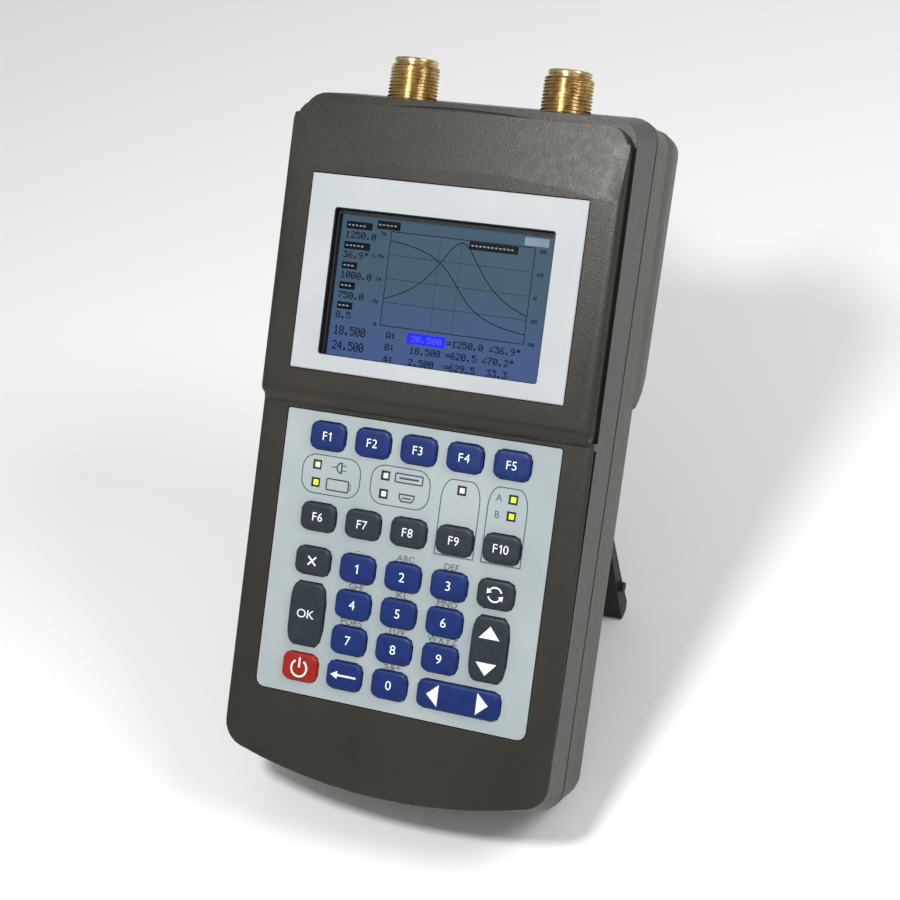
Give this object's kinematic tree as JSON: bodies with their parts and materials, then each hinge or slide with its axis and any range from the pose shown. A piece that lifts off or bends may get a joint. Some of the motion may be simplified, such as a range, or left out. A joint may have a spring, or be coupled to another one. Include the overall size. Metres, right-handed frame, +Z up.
{
  "type": "handheld vector network analyzer",
  "caption": "Handheld test set leaning on its kickstand, with a raised colour display, a rubber keypad and coaxial test ports on its top edge.",
  "frame": {"origin": "centre of the bounding box's bottom, on the surface the unit stands on", "axes": "+Z up, +X to the right seen from the front, and the keypad faces -Y and up"},
  "size_m": [0.1108, 0.1818, 0.189],
  "materials": {
    "case_plastic": "fine-grained dark olive-grey moulded plastic",
    "rear_plastic": "fine-grained grey moulded plastic",
    "bezel_white": "smooth pale grey",
    "lens_clear": "clear, slightly reflective",
    "lcd_blue": "backlit blue-grey panel",
    "overlay_grey": "smooth pale grey film",
    "key_blue": "dark blue silicone-coated key",
    "key_grey": "dark grey silicone-coated key",
    "key_red": "red silicone-coated key",
    "lamp_lit": "lit yellow-green lamp",
    "lamp_off": "unlit milky lamp",
    "gold_plating": "bright gold-coloured plating",
    "insulator_white": "milky white",
    "steel": "bright",
    "rubber_black": "black, matt",
    "board_green": "green circuit board",
    "cell_wrap": "blue wrap"
  },
  "bodies": {
    "case": {"front_shell": "case_plastic", "rear_shell": "rear_plastic", "display_bezel": "bezel_white", "display_window": "lens_clear", "lcd_module": "lcd_blue", "keypad_overlay": "overlay_grey", "keypad_board": "board_green", "main_board": "board_green", "battery_pack": "cell_wrap", "battery_cover": "rear_plastic", "kickstand_pin": "steel", "power_jack": "rubber_black", "usb_port": "steel", "card_slot": "steel", "led_mains": "lamp_off", "led_battery": "lamp_lit", "led_card": "lamp_off", "led_usb": "lamp_off", "led_sweep": "lamp_off", "led_cursor_a": "lamp_lit", "led_cursor_b": "lamp_lit", "connector_body_a": "gold_plating", "connector_insulator_a": "insulator_white", "connector_contact_a": "gold_plating", "connector_body_b": "gold_plating", "connector_insulator_b": "insulator_white", "connector_contact_b": "gold_plating", "case_screw_low_left": "steel", "case_screw_low_right": "steel", "case_screw_high_left": "steel", "case_screw_high_right": "steel"},
    "key_function_1": {"key_function_1": "key_blue"},
    "key_function_2": {"key_function_2": "key_blue"},
    "key_function_3": {"key_function_3": "key_blue"},
    "key_function_4": {"key_function_4": "key_blue"},
    "key_function_5": {"key_function_5": "key_blue"},
    "key_function_6": {"key_function_6": "key_grey"},
    "key_function_7": {"key_function_7": "key_grey"},
    "key_function_8": {"key_function_8": "key_grey"},
    "key_function_9": {"key_function_9": "key_grey"},
    "key_function_10": {"key_function_10": "key_grey"},
    "key_digit_0": {"key_digit_0": "key_blue"},
    "key_digit_1": {"key_digit_1": "key_blue"},
    "key_digit_2": {"key_digit_2": "key_blue"},
    "key_digit_3": {"key_digit_3": "key_blue"},
    "key_digit_4": {"key_digit_4": "key_blue"},
    "key_digit_5": {"key_digit_5": "key_blue"},
    "key_digit_6": {"key_digit_6": "key_blue"},
    "key_digit_7": {"key_digit_7": "key_blue"},
    "key_digit_8": {"key_digit_8": "key_blue"},
    "key_digit_9": {"key_digit_9": "key_blue"},
    "key_escape": {"key_escape": "key_grey"},
    "key_auto": {"key_auto": "key_grey"},
    "key_enter": {"key_enter": "key_grey"},
    "key_up_down": {"key_up_down": "key_grey"},
    "key_power": {"key_power": "key_red"},
    "key_backspace": {"key_backspace": "key_blue"},
    "key_left_right": {"key_left_right": "key_blue"},
    "stand": {"kickstand": "case_plastic", "stand_bumper_rod": "rubber_black"}
  },
  "joints": [
    {"name": "key_function_1_press", "type": "slide", "parent": "case", "child": "key_function_1", "axis": [0, 0.754, -0.6568], "range_m": [0, 0.0008], "stiffness_N_per_m": 2500, "springref_m": -0.0003},
    {"name": "key_function_2_press", "type": "slide", "parent": "case", "child": "key_function_2", "axis": [0, 0.754, -0.6568], "range_m": [0, 0.0008], "stiffness_N_per_m": 2500, "springref_m": -0.0003},
    {"name": "key_function_3_press", "type": "slide", "parent": "case", "child": "key_function_3", "axis": [0, 0.754, -0.6568], "range_m": [0, 0.0008], "stiffness_N_per_m": 2500, "springref_m": -0.0003},
    {"name": "key_function_4_press", "type": "slide", "parent": "case", "child": "key_function_4", "axis": [0, 0.754, -0.6568], "range_m": [0, 0.0008], "stiffness_N_per_m": 2500, "springref_m": -0.0003},
    {"name": "key_function_5_press", "type": "slide", "parent": "case", "child": "key_function_5", "axis": [0, 0.754, -0.6568], "range_m": [0, 0.0008], "stiffness_N_per_m": 2500, "springref_m": -0.0003},
    {"name": "key_function_6_press", "type": "slide", "parent": "case", "child": "key_function_6", "axis": [0, 0.754, -0.6568], "range_m": [0, 0.0008], "stiffness_N_per_m": 2500, "springref_m": -0.0003},
    {"name": "key_function_7_press", "type": "slide", "parent": "case", "child": "key_function_7", "axis": [0, 0.754, -0.6568], "range_m": [0, 0.0008], "stiffness_N_per_m": 2500, "springref_m": -0.0003},
    {"name": "key_function_8_press", "type": "slide", "parent": "case", "child": "key_function_8", "axis": [0, 0.754, -0.6568], "range_m": [0, 0.0008], "stiffness_N_per_m": 2500, "springref_m": -0.0003},
    {"name": "key_function_9_press", "type": "slide", "parent": "case", "child": "key_function_9", "axis": [0, 0.754, -0.6568], "range_m": [0, 0.0008], "stiffness_N_per_m": 2500, "springref_m": -0.0003},
    {"name": "key_function_10_press", "type": "slide", "parent": "case", "child": "key_function_10", "axis": [0, 0.754, -0.6568], "range_m": [0, 0.0008], "stiffness_N_per_m": 2500, "springref_m": -0.0003},
    {"name": "key_digit_0_press", "type": "slide", "parent": "case", "child": "key_digit_0", "axis": [0, 0.754, -0.6568], "range_m": [0, 0.0008], "stiffness_N_per_m": 2500, "springref_m": -0.0003},
    {"name": "key_digit_1_press", "type": "slide", "parent": "case", "child": "key_digit_1", "axis": [0, 0.754, -0.6568], "range_m": [0, 0.0008], "stiffness_N_per_m": 2500, "springref_m": -0.0003},
    {"name": "key_digit_2_press", "type": "slide", "parent": "case", "child": "key_digit_2", "axis": [0, 0.754, -0.6568], "range_m": [0, 0.0008], "stiffness_N_per_m": 2500, "springref_m": -0.0003},
    {"name": "key_digit_3_press", "type": "slide", "parent": "case", "child": "key_digit_3", "axis": [0, 0.754, -0.6568], "range_m": [0, 0.0008], "stiffness_N_per_m": 2500, "springref_m": -0.0003},
    {"name": "key_digit_4_press", "type": "slide", "parent": "case", "child": "key_digit_4", "axis": [0, 0.754, -0.6568], "range_m": [0, 0.0008], "stiffness_N_per_m": 2500, "springref_m": -0.0003},
    {"name": "key_digit_5_press", "type": "slide", "parent": "case", "child": "key_digit_5", "axis": [0, 0.754, -0.6568], "range_m": [0, 0.0008], "stiffness_N_per_m": 2500, "springref_m": -0.0003},
    {"name": "key_digit_6_press", "type": "slide", "parent": "case", "child": "key_digit_6", "axis": [0, 0.754, -0.6568], "range_m": [0, 0.0008], "stiffness_N_per_m": 2500, "springref_m": -0.0003},
    {"name": "key_digit_7_press", "type": "slide", "parent": "case", "child": "key_digit_7", "axis": [0, 0.754, -0.6568], "range_m": [0, 0.0008], "stiffness_N_per_m": 2500, "springref_m": -0.0003},
    {"name": "key_digit_8_press", "type": "slide", "parent": "case", "child": "key_digit_8", "axis": [0, 0.754, -0.6568], "range_m": [0, 0.0008], "stiffness_N_per_m": 2500, "springref_m": -0.0003},
    {"name": "key_digit_9_press", "type": "slide", "parent": "case", "child": "key_digit_9", "axis": [0, 0.754, -0.6568], "range_m": [0, 0.0008], "stiffness_N_per_m": 2500, "springref_m": -0.0003},
    {"name": "key_escape_press", "type": "slide", "parent": "case", "child": "key_escape", "axis": [0, 0.754, -0.6568], "range_m": [0, 0.0008], "stiffness_N_per_m": 2500, "springref_m": -0.0003},
    {"name": "key_auto_press", "type": "slide", "parent": "case", "child": "key_auto", "axis": [0, 0.754, -0.6568], "range_m": [0, 0.0008], "stiffness_N_per_m": 2500, "springref_m": -0.0003},
    {"name": "key_enter_press", "type": "slide", "parent": "case", "child": "key_enter", "axis": [0, 0.754, -0.6568], "range_m": [0, 0.0008], "stiffness_N_per_m": 2500, "springref_m": -0.0003},
    {"name": "key_up_down_press", "type": "slide", "parent": "case", "child": "key_up_down", "axis": [0, 0.754, -0.6568], "range_m": [0, 0.0008], "stiffness_N_per_m": 2500, "springref_m": -0.0003},
    {"name": "key_power_press", "type": "slide", "parent": "case", "child": "key_power", "axis": [0, 0.754, -0.6568], "range_m": [0, 0.0008], "stiffness_N_per_m": 2500, "springref_m": -0.0003},
    {"name": "key_backspace_press", "type": "slide", "parent": "case", "child": "key_backspace", "axis": [0, 0.754, -0.6568], "range_m": [0, 0.0008], "stiffness_N_per_m": 2500, "springref_m": -0.0003},
    {"name": "key_left_right_press", "type": "slide", "parent": "case", "child": "key_left_right", "axis": [0, 0.754, -0.6568], "range_m": [0, 0.0008], "stiffness_N_per_m": 2500, "springref_m": -0.0003},
    {"name": "stand_fold", "type": "hinge", "parent": "case", "child": "stand", "pos_m": [0, 0.01639, 0.08009], "axis": [1, 0, 0], "range_deg": [-44.8, 0]}
  ]
}
